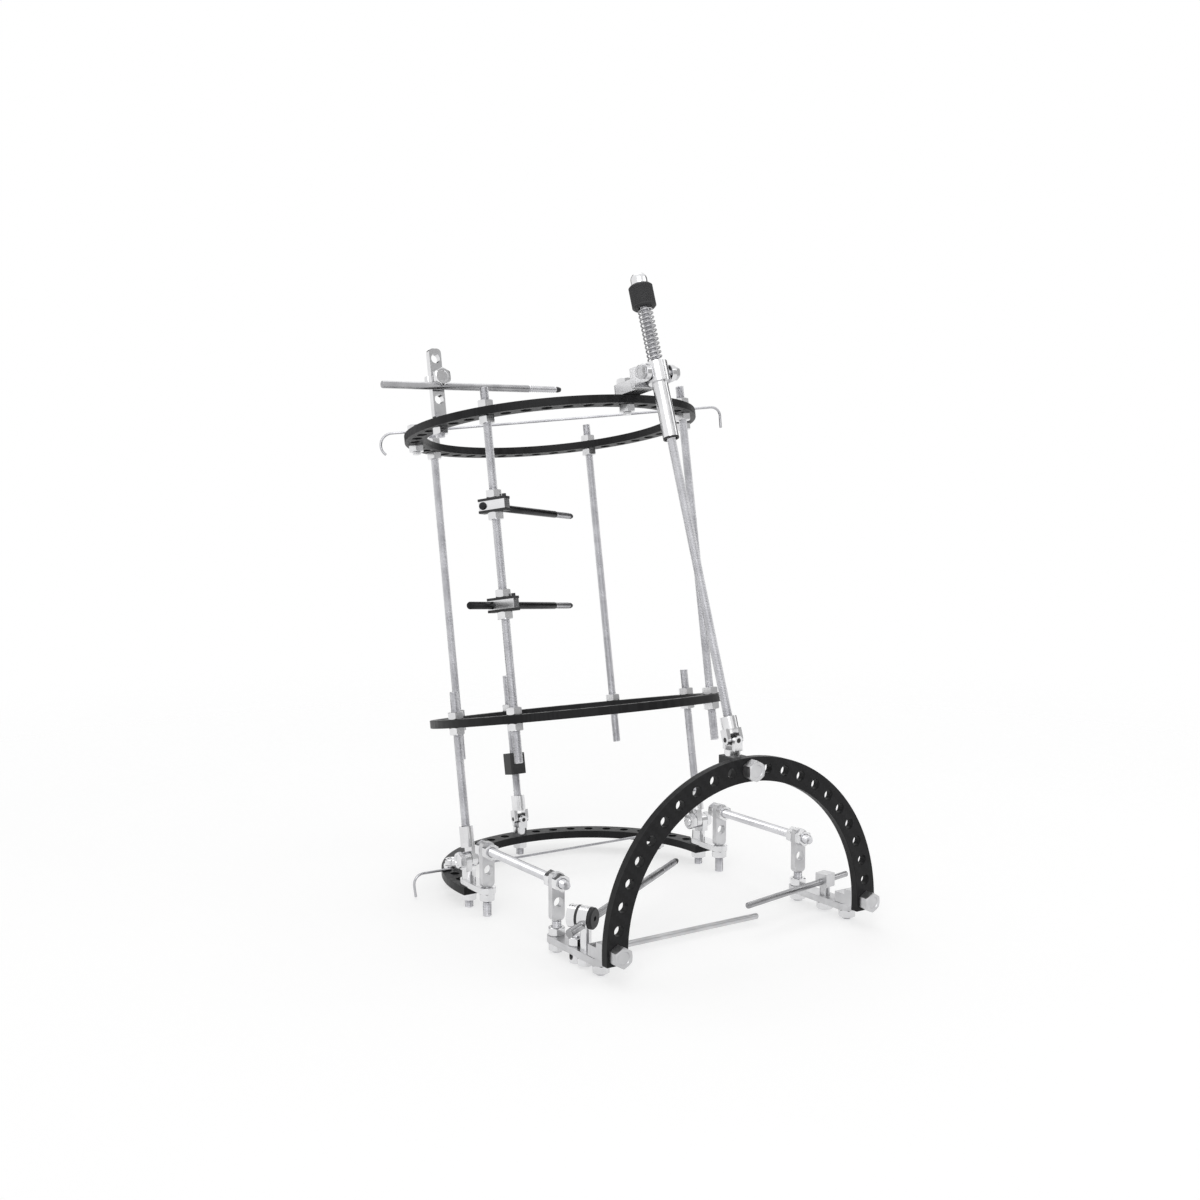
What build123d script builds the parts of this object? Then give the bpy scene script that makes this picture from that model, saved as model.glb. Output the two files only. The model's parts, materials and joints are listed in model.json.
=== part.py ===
from math import atan2, cos, degrees, hypot, radians, sin
import os

from build123d import *

# Rings and arch, all cut from one size of plate (mm)
ring_bore = 180.0
band = 15.0
ring_t = 5.5
holes_round = 44
hole_r = 3.6
half_hole_r = 3.2
tab = 6.5

# Threaded stock and fasteners
rod_r = 3.0
slip = 0.05
bevel = 0.6
nut_af = 10.0
nut_h = 5.0
head_h = 4.0
head_af = 10.0
spare = 2.0
lap = 0.5

# Foot frame: floor at the stud tips, origin midway between the four standing studs
heel_mid = 13.0
ankle_rise = 20.0
stance_len = 136.0
setback = 25.0
plate_w = 12.0
side_t = 4.0
front_t = 4.5
front_top = 11.0
rail_rise = 31.5
rail_spare = 4.5
post_w = 9.0
post_t = 4.5
post_hole_r = 3.3
post_over = 5.5
post_step = 13.0
post_lift = 4.0
post_round = 3.0
front_post_run = 49.0
block_w = 11.0
block_len = 18.0
block_h = 10.5
block_tall = 9.0
block_step = 7.0
arch_seat = 5.5
bolt_seat = 6.5
arch_head_h = 7.0
arch_head_af = 11.5
stud_back = 12.0
stud_seat = 5.0

# Leg frame, measured along its own axis from the ankle pivot
lean = 10.0
mid_ring = 91.5
ring_space = 203.5
rod_below = 29.0
rod_above = 16.5
rod_holes = (5, 15, 26, 38)
hinge_rod_above = 21.5

# Ankle hinges
tongue_t = 4.5
tongue_r = 5.0
tongue_gap = 0.15
nut_gap = 0.2
tongue_up = 8.5
tongue_down = 7.5
barrel_r = 4.75
barrel_len = 14.0
barrel_floor = 4.0
pivot_spare = 1.5

# Universal joints
fork_r = 5.2
ear_in = 3.3
ear_out = 6.0
ear_half = 3.0
fork_reach = 6.0
fork_body = 8.0
rear_fork_body = 11.5
fork_floor = 3.0
base_body = 6.0
cross_half = 3.0
pin_r = 1.5
pin_short = 0.1

# Rear distraction rod
rear_above = 30.0
cube_side = 12.6
cube_h = 16.0
cube_at = 34.0
cube_edge = 1.0
rear_nut_bore = 3.6

# Front spring rod, lengths counted along it from the swivel
swivel_out = 31.0
swivel_rise = 10.3
front_above = 16.0
front_box = 12.0
block_r = 7.4
block_low = 7.0
block_high = 6.5
sleeve_r = 5.2
sleeve_bore = 4.1
sleeve_low = 45.5
sleeve_over = 0.9
spring_r = 4.55
spring_wire = 1.1
spring_turns = 12
spring_len = 37.2
face_gap = 0.1
knob_h = 15.8
knob_r = 8.0
knob_edge = 1.0
cap_r = 5.6
cap_h = 8.5
cap_gap = 0.5
cap_seat = 3.0
cap_round = 5.0

# Front bracket and its swivel screws
bracket_w = 14.0
bracket_t = 8.0
web_t = 4.0
arm_run = 13.0
arm_r = 5.5
arm_in = 8.2
arm_out = 11.7
trunnion_r = 2.5
trunnion_end = 6.2
screw_af = 8.0
screw_head = 3.5

# Bone pins: plain shank, threaded end one step smaller, and a point
half_pin_r = 2.5
slim_pin_r = 2.0
thread_len = 24.0
thread_step = 0.25
tip_len = 2.0
tip_r = 1.5

# Pins and clamps on the second leg rod, heights counted down from the proximal ring
leg_pin_drop = (62.0, 128.0)
leg_pin_out = (5.0, 32.0)
leg_pin_in = (123.0, 109.0)
leg_pin_turn = 30.3
leg_pin_side = 7.0
clamp_w = 7.0
clamp_d = 19.6
clamp_h = 6.2
clamp_shift = 0.5
liner_t = 1.7
liner_edge = 0.3
grip_r = 1.4
grip_h = 1.8
grip_at = 7.6

# Post and pin above the proximal ring
top_pin_rise = 24.5
top_pin_out = 43.0
top_pin_len = 137.0
top_post_hole = 23
top_post_rise = 51.0
top_post_step = 14.0
post_bolt_af = 11.0

# Thin wires
wire_r = 0.9
wire_offset = 3.95
washer_r = 6.0
top_washer_h = 5.0
top_groove_at = 3.0
heel_washer_h = 2.8
heel_groove_at = 0.0
groove_w = 2.1
groove_h = 2.0
top_wire_holes = (18, 41)
heel_wire_holes = (19, 3)
top_wire_over = (16.5, 21.0)
heel_wire_over = (25.0, 10.0)
top_left_curl = (8.5, 135.0, 1.0)
top_right_curl = (6.4, 92.0, 9.0)
heel_left_curl = (6.8, 98.0, 8.0)

# Pins and clamps on the front plates
left_pins = (23.0, 32.8)
left_pin_rise = 16.2
left_pin_turn = 30.4
left_pin_tilt = 1.5
left_pin_out = 22.0
left_pin_in = 136.0
clamp_r = 7.0
clamp_len = 13.5
clamp_back = 3.5
clamp_lift = 3.0
neck_r = 3.4
cap_disc_r = 6.5
cap_disc_h = 3.0
cap_disc_edge = 0.8
low_pin_out = 3.0
low_pin_len = 141.0
low_bolt_r = 4.6
low_bolt_up = 0.4
stud_up = 0.7
right_pin = 27.5
right_pin_rise = 9.3
right_pin_turn = 11.0
right_pin_out = 24.0
right_pin_len = 103.0
right_clamp_w = 9.2
right_clamp_over = 5.5
right_clamp_under = 3.5

# Derived sizes
ring_in = ring_bore / 2
ring_out = ring_in + band
pitch_r = ring_in + band / 2
step = 360.0 / holes_round
half_t = ring_t / 2
thread_bore = rod_r + slip
heel_low = heel_mid - half_t
heel_top = heel_mid + half_t
heel_stud_y = stance_len / 2
toe_stud_y = -stance_len / 2
ankle_y = heel_stud_y + setback
ankle_z = heel_mid + ankle_rise
side_top = heel_top + side_t
rail_z = heel_mid + rail_rise
post_top = rail_z + post_over
front_low = front_top - front_t
front_post_y = toe_stud_y + front_post_run
arch_rise = front_top + arch_seat
arch_back = toe_stud_y - stud_back
arch_y = arch_back - half_t
arch_face = arch_back - ring_t
top_ring = mid_ring + ring_space
top_face = top_ring + half_t
top_under = top_ring - half_t
mid_face = mid_ring + half_t
mid_under = mid_ring - half_t
up = (0, 0, 1)
down = (0, 0, -1)
LEG = Location((0, ankle_y, ankle_z), (-lean, 0, 0))
LOW = (Align.CENTER, Align.CENTER, Align.MIN)
AHEAD = (Align.CENTER, Align.MIN, Align.CENTER)
nodes = {}


def put(name, *shapes):
    solids = []
    for shape in shapes:
        solids.extend(shape.solids())
    nodes[name] = solids[0] if len(solids) == 1 else Compound(children=solids)


def at(point, axis):
    return Plane(origin=point, z_dir=axis)


def bar(point, axis, r, length):
    shape = Cylinder(r, length, align=LOW)
    return at(point, axis) * chamfer(shape.edges().filter_by(GeomType.CIRCLE), bevel)


def stem(point, axis, r, length):
    return at(point, axis) * Cylinder(r, length, align=LOW)


def nut(point, axis, bore=thread_bore):
    face = RegularPolygon(nut_af / 2, 6, major_radius=False) - Circle(bore)
    return at(point, axis) * extrude(face, nut_h)


def bolt(point, axis, length, r=rod_r, af=head_af, head=head_h):
    hexagon = extrude(RegularPolygon(af / 2, 6, major_radius=False), head)
    return at(point, -Vector(*axis)) * hexagon + stem(point, axis, r, length)


def around(index, r=pitch_r):
    a = radians(index * step)
    return (r * cos(a), r * sin(a))


def full_ring():
    face = Circle(ring_out) - Circle(ring_in)
    face -= [Pos(*around(i)) * Circle(hole_r) for i in range(holes_round)]
    return Pos(0, 0, -half_t) * extrude(face, ring_t)


def half_ring():
    keep = Pos(0, ring_out / 2) * Rectangle(3 * ring_out, ring_out + 2 * tab)
    face = (Circle(ring_out) - Circle(ring_in)) & keep
    face -= [Pos(*around(i)) * Circle(half_hole_r) for i in range(holes_round // 2 + 1)]
    return Pos(0, 0, -half_t) * extrude(face, ring_t)


def tongue(sign, reach):
    face = Circle(tongue_r) + Pos(0, sign * reach / 2) * Rectangle(2 * tongue_r, reach)
    face -= Circle(thread_bore)
    return Plane.YZ * extrude(face, tongue_t)


def ears(sign):
    reach = fork_reach + lap
    face = Circle(ear_half) + Pos(0, sign * reach / 2) * Rectangle(2 * ear_half, reach)
    face -= Circle(pin_r + slip)
    one = Pos(0, -ear_in, 0) * (Plane.XZ * extrude(face, ear_out - ear_in))
    return one + Pos(0, ear_in + ear_out, 0) * one


def lower_fork(body):
    return ears(-1) + Pos(0, 0, -fork_reach - body) * Cylinder(fork_r, body, align=LOW)


def upper_fork(length):
    body = Pos(0, 0, fork_reach) * Cylinder(fork_r, length, align=LOW)
    body -= stem((0, 0, fork_reach + fork_floor), up, thread_bore, length)
    return Rot(0, 0, 90) * ears(1) + body


def cross():
    reach = ear_out - pin_short
    pins = stem((-reach, 0, 0), (1, 0, 0), pin_r, 2 * reach)
    pins += stem((0, -reach, 0), (0, 1, 0), pin_r, 2 * reach)
    return Box(2 * cross_half, 2 * cross_half, 2 * cross_half) + pins


def bone_pin(point, axis, length, r):
    shank = Cylinder(r, length - thread_len, align=LOW)
    body = chamfer(shank.edges().sort_by(Axis.Z)[0], bevel)
    body += Pos(0, 0, length - thread_len) * Cylinder(r - thread_step, thread_len, align=LOW)
    body += Pos(0, 0, length) * Cone(r - thread_step, tip_r, tip_len, align=LOW)
    return at(point, axis) * body


def post(low, high, holes):
    face = Pos(0, (low + high) / 2) * RectangleRounded(post_w, high - low, post_round)
    face -= [Pos(0, z) * Circle(post_hole_r) for z in holes]
    return Plane.XZ * extrude(face, post_t / 2, both=True)


def curl(start, heading, r, turn, tail):
    arc = JernArc(start, heading, r, turn)
    return [arc, Line(arc @ 1, (arc @ 1) + (arc % 1) * tail)]


def curled(start, end, left, right):
    run = Vector(*end) - Vector(*start)
    frame = Plane(origin=start, x_dir=run, z_dir=run.cross(Vector(0, 0, 1)))
    path = [Line((0, 0), (run.length, 0))]
    if right:
        path.extend(curl((run.length, 0), (1, 0), right[0], -right[1], right[2]))
    if left:
        path.extend(curl((0, 0), (-1, 0), left[0], left[1], left[2]))
    wire = Wire([frame * edge for piece in path for edge in piece.edges()])
    tip = Plane(origin=wire.position_at(0), z_dir=wire.tangent_at(0))
    return sweep(tip * Circle(wire_r), path=wire)


def wire_washer(point, along, height, groove_at):
    n = (-along[1], along[0])
    body = Cylinder(washer_r, height, align=LOW) - Cylinder(thread_bore, height, align=LOW)
    turn = degrees(atan2(along[1], along[0]))
    groove = Box(3 * washer_r, groove_w, groove_h, align=LOW)
    spot = Pos(n[0] * wire_offset, n[1] * wire_offset, groove_at)
    body -= spot * Rot(0, 0, turn) * groove
    return Pos(*point) * body


# Leg rings and their four long rods
put("proximal_ring", LEG * (Pos(0, 0, top_ring) * full_ring()))
put("distal_ring", LEG * (Pos(0, 0, mid_ring) * full_ring()))
leg_nuts = []
foot_nuts = []
leg_rods = []
rod_low = mid_ring - rod_below
for index in rod_holes:
    x, y = around(index)
    leg_rods.append(LEG * bar((x, y, rod_low), up, rod_r, top_ring + rod_above - rod_low))
    for level in (top_face, top_under - nut_h, mid_face, mid_under - nut_h):
        leg_nuts.append(LEG * nut((x, y, level), up))
put("leg_rods", *leg_rods)

# Ankle hinges on both sides
hinge_rods = []
upper_hinges = []
lower_hinges = []
pivots = []
barrel_low = tongue_up - lap
rod_seat = barrel_low + barrel_floor
drop = ankle_z - side_top
for side in (-1, 1):
    x = side * pitch_r
    hinge_rods.append(LEG * bar((x, 0, rod_seat), up, rod_r, mid_ring + hinge_rod_above - rod_seat))
    for level in (mid_face, mid_under - nut_h):
        leg_nuts.append(LEG * nut((x, 0, level), up))
    inner = -tongue_gap - tongue_t if side > 0 else tongue_gap
    outer = tongue_gap if side > 0 else -tongue_gap - tongue_t
    upper = Pos(x + inner, 0, 0) * tongue(1, tongue_up)
    upper += Pos(x, 0, barrel_low) * Cylinder(barrel_r, barrel_len, align=LOW)
    upper -= stem((x, 0, rod_seat), up, thread_bore, barrel_len)
    upper_hinges.append(LEG * upper)
    lower = Pos(x + outer, 0, 0) * tongue(-1, tongue_down)
    lower += Pos(x, 0, -drop) * Cylinder(barrel_r, drop - tongue_down + lap, align=LOW)
    lower += stem((x, 0, -ankle_z), up, rod_r, ankle_z - drop + lap)
    lower_hinges.append(Pos(0, ankle_y, ankle_z) * lower)
    foot_nuts.append(nut((x, ankle_y, heel_low - nut_h), up))
    inward = (-side, 0, 0)
    edge = x + side * (tongue_gap + tongue_t)
    reach = 2 * (tongue_gap + tongue_t) + nut_gap
    pivots.append(bolt((edge, ankle_y, ankle_z), inward, reach + nut_h + pivot_spare))
    foot_nuts.append(nut((edge - side * reach, ankle_y, ankle_z), inward))
put("hinge_rods", *hinge_rods)
put("upper_hinges", *upper_hinges)
put("lower_hinges", *lower_hinges)
put("hinge_pivots", *pivots)

# Heel half ring and forefoot arch
put("heel_ring", Pos(0, ankle_y, heel_mid) * half_ring())
put("forefoot_arch", Pos(0, arch_y, arch_rise) * Rot(90, 0, 0) * half_ring())
arch_bolts = []
for angle in (0, 90, 180):
    x = pitch_r * cos(radians(angle))
    z = arch_rise + pitch_r * sin(radians(angle))
    spot = (x, arch_face, z)
    shaft = ring_t + bolt_seat
    arch_bolts.append(bolt(spot, (0, 1, 0), shaft, af=arch_head_af, head=arch_head_h))
put("arch_bolts", *arch_bolts)

# Side arms from the heel ring to the arch
side_plates = []
side_rails = []
rear_posts = []
front_posts = []
toe_blocks = []
toe_studs = []
post_holes = (rail_z, rail_z - post_step)
post_low = front_top + nut_h + post_lift
for side, word in ((-1, "left"), (1, "right")):
    x = side * pitch_r
    face = SlotCenterToCenter(setback, plate_w) - Pos(setback / 2, 0) * Circle(thread_bore)
    face -= Pos(-setback / 2, 0) * Circle(thread_bore)
    middle = (x, (ankle_y + heel_stud_y) / 2, heel_top)
    side_plates.append(Pos(*middle) * Rot(0, 0, 90) * extrude(face, side_t))
    body = post(side_top, post_top, post_holes) + stem((0, 0, 0), up, rod_r, side_top + lap)
    rear_posts.append(Pos(x, heel_stud_y, 0) * body)
    foot_nuts.append(nut((x, heel_stud_y, heel_top - nut_h), up))
    start = heel_stud_y + post_t / 2 + nut_h + spare
    finish = front_post_y - post_t / 2 - nut_h - rail_spare
    side_rails.append(bar((x, start, rail_z), (0, -1, 0), rod_r, start - finish))
    for y in (heel_stud_y, front_post_y):
        foot_nuts.append(nut((x, y + post_t / 2, rail_z), (0, 1, 0)))
        foot_nuts.append(nut((x, y - post_t / 2, rail_z), (0, -1, 0)))
    body = post(post_low, post_top, post_holes) + stem((0, 0, 0), up, rod_r, post_low + lap)
    front_posts.append(Pos(x, front_post_y, 0) * body)
    foot_nuts.append(nut((x, front_post_y, front_top), up))
    foot_nuts.append(nut((x, front_post_y, front_low - nut_h), up))
    face = Pos(0, -front_post_run / 2) * Rot(0, 0, 90) * SlotCenterToCenter(front_post_run, plate_w)
    pin_at = left_pins if side < 0 else (right_pin,)
    for y in (0, front_post_run) + pin_at:
        face -= Pos(0, -y) * Circle(thread_bore)
    put(f"front_plate_{word}", Pos(x, front_post_y, front_low) * extrude(face, front_t))
    block = Pos(0, 0, block_step / 2) * Box(block_w, block_len, block_step, align=AHEAD)
    block += Pos(0, 0, block_h / 2) * Box(block_w, block_tall, block_h, align=AHEAD)
    block = Pos(x, arch_back, front_top) * block
    block -= stem((x, arch_back, arch_rise), (0, 1, 0), thread_bore, bolt_seat + lap)
    block -= stem((x, toe_stud_y, front_top), up, thread_bore, stud_seat + lap)
    toe_blocks.append(block)
    toe_studs.append(stem((x, toe_stud_y, 0), up, rod_r, front_top + stud_seat))
    foot_nuts.append(nut((x, toe_stud_y, front_low - nut_h), up))
put("side_plates", *side_plates)
put("rear_posts", *rear_posts)
put("side_rails", *side_rails)
put("front_posts", *front_posts)
put("toe_blocks", *toe_blocks)
put("toe_studs", *toe_studs)

# Rear universal joint and distraction rod
rear_pivot = (0, ankle_y + pitch_r, heel_top + fork_reach + base_body)
lower = lower_fork(base_body) + stem((0, 0, -rear_pivot[2]), up, rod_r, heel_top + lap)
put("rear_joint_base", Pos(*rear_pivot) * lower)
put("rear_joint_cross", Pos(*rear_pivot) * cross())
foot_nuts.append(nut((0, rear_pivot[1], heel_low - nut_h), up))
eye = (LEG * Pos(0, pitch_r, mid_ring)).position
rear_run = hypot(eye.Y - rear_pivot[1], eye.Z - rear_pivot[2])
rear_tilt = degrees(atan2(eye.Y - rear_pivot[1], eye.Z - rear_pivot[2]))
REAR = Location(rear_pivot, (-rear_tilt, 0, 0))
fork_seat = fork_reach + fork_floor
put("rear_joint_fork", REAR * upper_fork(rear_fork_body))
put("rear_rod", REAR * bar((0, 0, fork_seat), up, rod_r, rear_run + rear_above - fork_seat))
cube = Box(cube_side, cube_side, cube_h, align=LOW)
cube = chamfer(cube.edges().filter_by(Axis.Z), cube_edge) - Cylinder(thread_bore, cube_h, align=LOW)
put("distraction_nut", REAR * (Pos(0, 0, cube_at) * cube))
rear_nuts = []
for level in (mid_face, mid_under - nut_h):
    rear_nuts.append(LEG * nut((0, pitch_r, level), up, rear_nut_bore))
put("rear_rod_nuts", *rear_nuts)

# Front bracket and its swivel screws
swivel_y = -ring_out - swivel_out
swivel_z = top_ring + swivel_rise
web_y = swivel_y + arm_run
base_len = -pitch_r - web_y
face = Pos(0, -pitch_r) * Circle(bracket_w / 2)
face += Pos(0, web_y + base_len / 2) * Rectangle(bracket_w, base_len)
base = Pos(0, 0, top_face) * extrude(face, bracket_t)
base += Pos(0, web_y, top_face) * Box(2 * arm_out, web_t, swivel_z + arm_r - top_face, align=LOW)
for x in (arm_in, -arm_out):
    face = Circle(arm_r) + Pos(arm_run / 2, 0) * Rectangle(arm_run, 2 * arm_r)
    face -= Circle(trunnion_r + slip)
    base += Pos(x, swivel_y, swivel_z) * (Plane.YZ * extrude(face, arm_out - arm_in))
base -= stem((0, -pitch_r, top_face), up, thread_bore, bracket_t + lap)
put("front_bracket", LEG * base)
grip = bracket_t + ring_t + nut_h + spare
put("bracket_bolt", LEG * bolt((0, -pitch_r, top_face + bracket_t), down, grip))
leg_nuts.append(LEG * nut((0, -pitch_r, top_under - nut_h), up))
screws = []
for side in (-1, 1):
    point = (side * arm_out, swivel_y, swivel_z)
    screw = bolt(point, (-side, 0, 0), arm_out - trunnion_end, trunnion_r, screw_af, screw_head)
    screws.append(LEG * screw)
put("swivel_screws", *screws)

# Front spring rod from the arch to the swivel
arch_top = arch_rise + pitch_r
front_pivot = (0, toe_stud_y, arch_top + front_above)
swivel = (LEG * Pos(0, swivel_y, swivel_z)).position
front_run = hypot(swivel.Y - front_pivot[1], swivel.Z - front_pivot[2])
front_tilt = degrees(atan2(swivel.Y - front_pivot[1], swivel.Z - front_pivot[2]))
FRONT = Location(front_pivot, (-front_tilt, 0, 0))
SWIVEL = FRONT * Pos(0, 0, front_run)
body = Cylinder(block_r, block_low + block_high, align=LOW)
body -= Cylinder(sleeve_r + slip, block_low + block_high, align=LOW)
body = Pos(0, 0, -block_low) * body
body -= stem((-block_r, 0, 0), (1, 0, 0), trunnion_r + slip, 2 * block_r)
put("swivel_block", SWIVEL * body)
sleeve_high = block_high + sleeve_over
tube = Cylinder(sleeve_r, sleeve_high + sleeve_low, align=LOW)
tube -= Cylinder(sleeve_bore, sleeve_high + sleeve_low, align=LOW)
put("spring_sleeve", SWIVEL * (Pos(0, 0, -sleeve_low) * tube))
spring_low = sleeve_high + face_gap
coil_h = spring_len - spring_wire
coil = Helix(coil_h / spring_turns, coil_h, spring_r)
start = Plane(origin=coil.position_at(0), x_dir=(1, 0, 0), z_dir=coil.tangent_at(0))
spring = sweep(start * Rectangle(spring_wire, spring_wire), path=coil, is_frenet=True)
put("spring", SWIVEL * (Pos(0, 0, spring_low + spring_wire / 2) * spring))
knob_low = spring_low + spring_len + face_gap
knob = Cylinder(knob_r, knob_h, align=LOW)
knob = chamfer(knob.edges().filter_by(GeomType.CIRCLE), knob_edge)
knob -= Cylinder(sleeve_bore + slip, knob_h, align=LOW)
put("spring_knob", SWIVEL * (Pos(0, 0, knob_low) * knob))
cap_low = knob_low + knob_h + cap_gap
put("front_rod", FRONT * bar((0, 0, fork_seat), up, rod_r, front_run + cap_low + cap_seat - fork_seat))
cap = fillet(Cylinder(cap_r, cap_h, align=LOW).edges().sort_by(Axis.Z)[-1], cap_round)
cap -= Cylinder(thread_bore, cap_seat + face_gap, align=LOW)
put("rod_cap", SWIVEL * (Pos(0, 0, cap_low) * cap))
put("front_joint_fork", FRONT * upper_fork(fork_body))
put("front_joint_cross", Pos(*front_pivot) * cross())
base = Pos(0, arch_back, arch_top) * Box(front_box, block_len, front_box, align=AHEAD)
base -= stem((0, arch_back, arch_top), (0, 1, 0), thread_bore, bolt_seat + lap)
base += Pos(*front_pivot) * lower_fork(front_above - fork_reach - front_box / 2 + lap)
put("front_joint_base", base)

# Half pins on the second leg rod, in clamps with a black liner above and below
x, y = around(rod_holes[2])
liners = []
for drop, out, inward, word in zip(leg_pin_drop, leg_pin_out, leg_pin_in, ("upper", "lower")):
    z = top_ring - drop
    CLAMP = Pos(x, y, z) * Rot(0, 0, leg_pin_turn)
    body = Pos(0, clamp_shift, 0) * Box(clamp_w, clamp_d, clamp_h)
    body -= stem((0, 0, -clamp_h), up, thread_bore, 2 * clamp_h)
    body -= stem((-clamp_w, leg_pin_side, 0), (1, 0, 0), half_pin_r + slip, 2 * clamp_w)
    put(f"pin_clamp_{word}", LEG * (CLAMP * body))
    sheet = Box(clamp_w + 2 * liner_edge, clamp_d + 2 * liner_edge, liner_t, align=LOW)
    sheet = Pos(0, clamp_shift, 0) * sheet - Cylinder(thread_bore, liner_t, align=LOW)
    liners.append(LEG * (CLAMP * (Pos(0, 0, -clamp_h / 2 - liner_t) * sheet)))
    sheet += stem((0, -grip_at, 0), up, grip_r, liner_t + grip_h)
    liners.append(LEG * (CLAMP * (Pos(0, 0, clamp_h / 2) * sheet)))
    seat = clamp_h / 2 + liner_t
    leg_nuts.append(LEG * nut((x, y, z - seat - nut_h), up))
    leg_nuts.append(LEG * nut((x, y, z + seat), up))
    pin = bone_pin((-out, leg_pin_side, 0), (1, 0, 0), out + inward - tip_len, half_pin_r)
    put(f"half_pin_{word}", LEG * (CLAMP * pin))
put("pin_clamp_liners", *liners)

# Post and half pin above the proximal ring
px, py = around(top_post_hole)
top_pin_z = top_ring + top_pin_rise
bolt_z = top_pin_z + half_pin_r + rod_r + face_gap
holes = (bolt_z - top_post_step, bolt_z, bolt_z + top_post_step)
stud_low = top_under - nut_h - spare
body = post(top_face, top_ring + top_post_rise, holes)
body += stem((0, 0, stud_low), up, rod_r, top_face + lap - stud_low)
put("proximal_post", LEG * (Pos(px, py, 0) * body))
face_y = py - post_t / 2
grip = 2 * half_pin_r + post_t + nut_h + spare
head_at = (px, face_y - 2 * half_pin_r, bolt_z)
put("post_bolt", LEG * bolt(head_at, (0, 1, 0), grip, af=post_bolt_af))
leg_nuts.append(LEG * nut((px, face_y + post_t, bolt_z), (0, 1, 0)))
leg_nuts.append(LEG * nut((px, py, top_under - nut_h), up))
start = (px - top_pin_out, face_y - half_pin_r, top_pin_z)
put("half_pin_top", LEG * bone_pin(start, (1, 0, 0), top_pin_len, half_pin_r))

# Thin wires with their slotted washers and bolts
top_sizes = (top_washer_h, top_groove_at, top_wire_over, (top_left_curl, top_right_curl))
heel_sizes = (heel_washer_h, heel_groove_at, heel_wire_over, (heel_left_curl, None))
for word, spots, level, shift, frame, nuts, sizes in (
    ("proximal", top_wire_holes, top_face, 0.0, LEG, leg_nuts, top_sizes),
    ("heel", heel_wire_holes, heel_top, ankle_y, Location(), foot_nuts, heel_sizes),
):
    washer_h, groove_at, over, curls = sizes
    ax, ay = around(spots[0])
    bx, by = around(spots[1])
    span = hypot(bx - ax, by - ay)
    ux, uy = (bx - ax) / span, (by - ay) / span
    ends = []
    bolts = []
    washers = []
    for hx, hy, run in ((ax, ay, -over[0]), (bx, by, over[1])):
        wx = hx + uy * wire_offset + ux * run
        wy = hy - ux * wire_offset + uy * run
        ends.append((wx, wy + shift, level + groove_at + wire_r))
        spot = Pos(hx, hy + shift, level)
        body = wire_washer((hx, hy + shift, level), (-ux, -uy), washer_h, groove_at)
        washers.append(frame * body)
        bolts.append(frame * (spot * bolt((0, 0, washer_h), down, washer_h + ring_t + nut_h + spare)))
        nuts.append(frame * (spot * nut((0, 0, -ring_t - nut_h), up)))
    put(f"{word}_wire", frame * curled(ends[0], ends[1], *curls))
    put(f"{word}_wire_washers", *washers)
    put(f"{word}_wire_bolts", *bolts)

# Round clamp and half pin on the left front plate
clamp_y = front_post_y - left_pins[1]
left_pin_z = front_top + left_pin_rise
SPOT = Pos(-pitch_r, clamp_y, left_pin_z) * Rot(0, 0, left_pin_turn)
body = stem((0, -clamp_back, clamp_lift), (0, 1, 0), clamp_r, clamp_len)
body += stem((0, 0, -left_pin_rise), up, neck_r, left_pin_rise)
body += stem((0, 0, stud_up - left_pin_z), up, rod_r, front_top)
pin_axis = Vector(cos(radians(left_pin_tilt)), 0, sin(radians(left_pin_tilt)))
start = pin_axis * -left_pin_out
body -= stem(start, pin_axis, half_pin_r + slip, 2 * left_pin_out)
put("foot_clamp_left", SPOT * body)
disc = Cylinder(cap_disc_r, cap_disc_h, align=LOW)
disc = chamfer(disc.edges().sort_by(Axis.Z)[-1], cap_disc_edge)
put("foot_clamp_cap", SPOT * (at((0, -clamp_back, clamp_lift), (0, -1, 0)) * disc))
put("foot_pin_left", SPOT * bone_pin(start, pin_axis, left_pin_out + left_pin_in, half_pin_r))
foot_nuts.append(nut((-pitch_r, clamp_y, front_low - nut_h), up))

# Slim pin under the left front plate, held by a drilled bolt
low_y = front_post_y - left_pins[0]
low_z = front_low - slim_pin_r - face_gap
body = stem((-pitch_r, low_y, low_bolt_up), up, low_bolt_r, front_low - low_bolt_up)
body += stem((-pitch_r, low_y, front_low - lap), up, rod_r, lap + front_t + nut_h + spare / 2)
body -= stem((-pitch_r - low_bolt_r, low_y, low_z), (1, 0, 0), slim_pin_r + slip, 2 * low_bolt_r)
put("foot_pin_bolt", body)
foot_nuts.append(nut((-pitch_r, low_y, front_top), up))
start = (-pitch_r - low_pin_out, low_y, low_z)
put("foot_pin_low", bone_pin(start, (1, 0, 0), low_pin_len, slim_pin_r))

# Clamp block and slim pin on the right front plate
clamp_y = front_post_y - right_pin
right_pin_z = front_top + right_pin_rise
SPOT = Pos(pitch_r, clamp_y, right_pin_z) * Rot(0, 0, right_pin_turn)
right_clamp_h = right_clamp_under + right_clamp_over
body = Pos(0, 0, -right_clamp_under) * Box(right_clamp_w, right_clamp_w, right_clamp_h, align=LOW)
body += stem((0, 0, -right_pin_rise), up, neck_r, right_pin_rise - right_clamp_under + lap)
body += stem((0, 0, stud_up - right_pin_z), up, rod_r, front_top)
body -= stem((-right_clamp_w, 0, 0), (1, 0, 0), slim_pin_r + slip, 2 * right_clamp_w)
put("foot_clamp_right", SPOT * body)
foot_nuts.append(nut((pitch_r, clamp_y, front_low - nut_h), up))
start = (right_pin_out, 0, 0)
put("foot_pin_right", SPOT * bone_pin(start, (-1, 0, 0), right_pin_len, slim_pin_r))

put("leg_nuts", *leg_nuts)
put("foot_nuts", *foot_nuts)

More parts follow.
